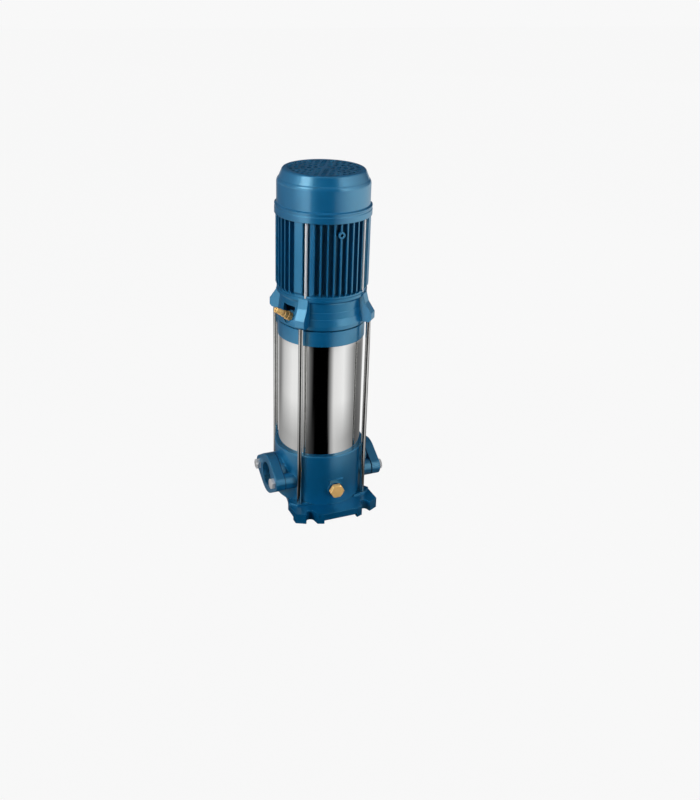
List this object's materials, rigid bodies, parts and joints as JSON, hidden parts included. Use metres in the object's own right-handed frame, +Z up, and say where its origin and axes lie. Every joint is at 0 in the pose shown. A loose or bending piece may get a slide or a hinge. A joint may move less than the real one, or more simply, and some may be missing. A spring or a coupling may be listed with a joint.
{
  "type": "vertical multistage in-line pump",
  "caption": "Vertical multistage in-line pump: cast base with opposed oval flanged ports, polished sleeve held by tie rods, and a finned electric motor on top.",
  "frame": {"origin": "centre of the base's footprint, on the floor that its feet stand on", "axes": "+Z up along the shaft, +X towards the discharge port, -Y towards the drain plug (front)"},
  "size_m": [0.2068, 0.209, 0.5776],
  "materials": {
    "blue_casting": "gloss blue enamel over a fine cast surface",
    "blue_cowl": "smooth gloss blue enamel on pressed steel",
    "polished_stainless": "mirror-polished stainless sheet",
    "steel_rod": "drawn bright stainless rod",
    "zinc_steel": "bright zinc plate",
    "brass": "machined brass, lightly stained",
    "machined_steel": "turned and ground steel",
    "bearing_steel": "ground bearing steel",
    "seal_rubber": "matt black rubber",
    "gasket_fibre": "pressed fibre sheet with paint over its edge",
    "carbon_face": "lapped carbon",
    "moulded_stage": "glass-filled moulded plastic",
    "laminations": "stacked electrical steel",
    "copper_winding": "varnished copper",
    "fan_plastic": "black moulded plastic",
    "gland_plastic": "black polyamide",
    "aluminium_shield": "die-cast aluminium"
  },
  "bodies": {
    "pump": {"base_casting": "blue_casting", "suction_flange": "blue_casting", "discharge_flange": "blue_casting", "suction_gasket": "gasket_fibre", "discharge_gasket": "gasket_fibre", "flange_bolts": "zinc_steel", "drain_plug": "brass", "drain_plug_washer": "gasket_fibre", "outer_sleeve": "polished_stainless", "sleeve_seal_rings": "seal_rubber", "discharge_head": "blue_casting", "vent_valve_body": "brass", "tie_rods": "steel_rod", "lantern": "blue_casting", "inlet_plate": "moulded_stage", "stack_clamp_ring": "moulded_stage", "seal_seat": "carbon_face", "motor_frame": "blue_casting", "motor_bolts": "zinc_steel", "stator_core": "laminations", "stator_windings": "copper_winding", "upper_end_shield": "aluminium_shield", "wave_spring": "machined_steel", "fan_cover": "blue_cowl", "terminal_box": "blue_casting", "terminal_box_lid": "blue_casting", "lid_screws": "zinc_steel", "terminal_block": "moulded_stage", "cable_gland": "gland_plastic", "stage_casing_1": "moulded_stage", "stage_casing_2": "moulded_stage", "stage_casing_3": "moulded_stage", "stage_casing_4": "moulded_stage", "stage_casing_5": "moulded_stage", "stage_casing_6": "moulded_stage", "lower_bearing_outer_race": "bearing_steel", "upper_bearing_outer_race": "bearing_steel"},
    "rotor": {"shaft": "machined_steel", "impeller_1": "moulded_stage", "impeller_2": "moulded_stage", "impeller_3": "moulded_stage", "impeller_4": "moulded_stage", "impeller_5": "moulded_stage", "impeller_6": "moulded_stage", "impeller_keys": "machined_steel", "impeller_spacers": "machined_steel", "impeller_nut": "machined_steel", "nut_washer": "machined_steel", "seal_rotating_part": "carbon_face", "slinger_ring": "seal_rubber", "rotor_core": "laminations", "lower_bearing_inner_race": "bearing_steel", "upper_bearing_inner_race": "bearing_steel", "cooling_fan": "fan_plastic", "fan_circlip": "machined_steel"},
    "lower_cage": {"lower_bearing_cage": "machined_steel", "lower_bearing_balls": "bearing_steel"},
    "upper_cage": {"upper_bearing_cage": "machined_steel", "upper_bearing_balls": "bearing_steel"},
    "vent_needle": {"vent_screw": "brass"}
  },
  "joints": [
    {"name": "rotor_spin", "type": "hinge", "parent": "pump", "child": "rotor", "pos_m": [0, 0, 0.3735], "axis": [0, 0, 1], "continuous": true},
    {"name": "lower_cage_spin", "type": "hinge", "parent": "pump", "child": "lower_cage", "pos_m": [0, 0, 0.3735], "axis": [0, 0, 1], "continuous": true},
    {"name": "upper_cage_spin", "type": "hinge", "parent": "pump", "child": "upper_cage", "pos_m": [0, 0, 0.5105], "axis": [0, 0, 1], "continuous": true},
    {"name": "vent_screw_turn", "type": "hinge", "parent": "pump", "child": "vent_needle", "pos_m": [-0.06277, -0.0204, 0.348], "axis": [-0.8152, -0.2649, 0.515], "range_deg": [0, 720]}
  ],
  "couplings": [
    {"joint": "lower_cage_spin", "follows": "rotor_spin", "ratio": 0.3974},
    {"joint": "upper_cage_spin", "follows": "rotor_spin", "ratio": 0.38209}
  ]
}
